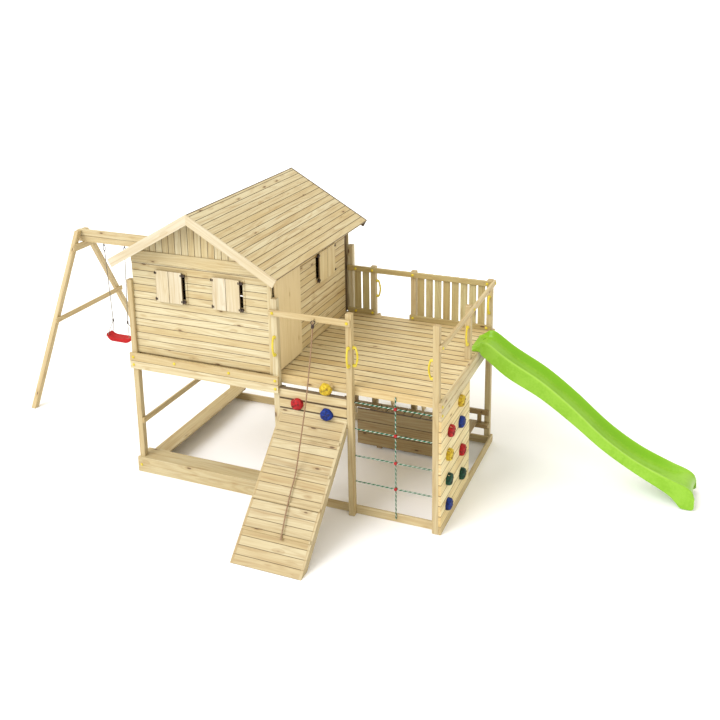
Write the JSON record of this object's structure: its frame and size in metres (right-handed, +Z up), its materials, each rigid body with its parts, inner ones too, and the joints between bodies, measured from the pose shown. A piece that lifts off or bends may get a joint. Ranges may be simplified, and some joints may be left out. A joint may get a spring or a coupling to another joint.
{
  "type": "wooden playhouse with slide",
  "caption": "Wooden playhouse on posts with a railed deck, slide, ramp, climbing wall, net, ladder and a swing hung from a side beam.",
  "frame": {"origin": "middle of the front left post's foot, on the ground", "axes": "+X along the front from the swing's side to the slide's side, +Y from the front to the back, +Z up"},
  "size_m": [8.5246, 4.5364, 3.263],
  "materials": {
    "pine": "planed, unpainted",
    "pale_pine": "planed, unpainted",
    "door_panel": "smooth panel",
    "slide_plastic": "glossy",
    "handle_plastic": "satin",
    "seat_plastic": "satin",
    "rope": "laid rope",
    "net_rope": "laid rope"
  },
  "bodies": {
    "frame": {"back_railing": "pine", "barge_back": "pale_pine", "barge_front": "pale_pine", "bench_front": "pine", "bench_seat": "pine", "climb_boards": "pine", "climbing_net": "net_rope", "climbing_rope": "rope", "climbing_wall": "pine", "deck": "pine", "fascia_front": "pine", "fascia_side": "pine", "ground_beam_back": "pine", "ground_beam_front": "pine", "ground_beam_right": "pine", "handle_deck": "handle_plastic", "handle_front_right": "handle_plastic", "handle_ladder": "handle_plastic", "handle_ramp_left": "handle_plastic", "handle_ramp_right": "handle_plastic", "handle_slide_far": "handle_plastic", "handle_slide_near": "handle_plastic", "house_side_rail": "pine", "ladder": "pine", "post_back_left": "pine", "post_back_right": "pine", "post_front_left": "pine", "post_front_right": "pine", "post_house_back": "pine", "post_house_front": "pine", "post_ladder_left": "pine", "post_ladder_right": "pine", "post_ramp_right": "pine", "post_side_middle": "pine", "ramp": "pine", "roof_left": "pine", "roof_right": "pine", "sandpit": "pine", "side_rail": "pine", "slide": "slide_plastic", "swing_beam": "pine", "swing_brace": "pine", "swing_leg_back": "pine", "swing_leg_front": "pine", "swing_tie": "pine", "top_bar": "pine", "wall_back": "pine", "wall_front": "pine", "wall_left": "pine", "wall_right": "pine"},
    "swing": {"swing_rope_left": "rope", "swing_rope_right": "rope", "swing_seat": "seat_plastic"},
    "door": {"door": "door_panel"},
    "shutter_left_a": {"shutter_left_a": "pale_pine"},
    "shutter_left_b": {"shutter_left_b": "pale_pine"},
    "shutter_right_a": {"shutter_right_a": "pale_pine"},
    "shutter_right_b": {"shutter_right_b": "pale_pine"},
    "shutter_side_a": {"shutter_side_a": "pale_pine"},
    "shutter_side_b": {"shutter_side_b": "pale_pine"}
  },
  "joints": [
    {"name": "swing_swing", "type": "hinge", "parent": "frame", "child": "swing", "pos_m": [-1.809, 2.05, 1.988], "axis": [1, 0, 0], "range_deg": [-50, 50]},
    {"name": "door_hinge", "type": "hinge", "parent": "frame", "child": "door", "pos_m": [1.8155, 0.6253, 2.0605], "axis": [0, 0, 1], "range_deg": [0, 95]},
    {"name": "shutter_left_a_hinge", "type": "hinge", "parent": "frame", "child": "shutter_left_a", "pos_m": [0.366, -0.044, 2.3575], "axis": [0, 0, -1], "range_deg": [0, 100]},
    {"name": "shutter_left_b_hinge", "type": "hinge", "parent": "frame", "child": "shutter_left_b", "pos_m": [0.704, -0.044, 2.3575], "axis": [0, 0, 1], "range_deg": [0, 100]},
    {"name": "shutter_right_a_hinge", "type": "hinge", "parent": "frame", "child": "shutter_right_a", "pos_m": [1.086, -0.044, 2.3575], "axis": [0, 0, -1], "range_deg": [0, 100]},
    {"name": "shutter_right_b_hinge", "type": "hinge", "parent": "frame", "child": "shutter_right_b", "pos_m": [1.424, -0.044, 2.3575], "axis": [0, 0, 1], "range_deg": [0, 100]},
    {"name": "shutter_side_a_hinge", "type": "hinge", "parent": "frame", "child": "shutter_side_a", "pos_m": [1.819, 1.126, 2.3575], "axis": [0, 0, -1], "range_deg": [0, 100]},
    {"name": "shutter_side_b_hinge", "type": "hinge", "parent": "frame", "child": "shutter_side_b", "pos_m": [1.819, 1.568, 2.3575], "axis": [0, 0, 1], "range_deg": [0, 100]}
  ]
}
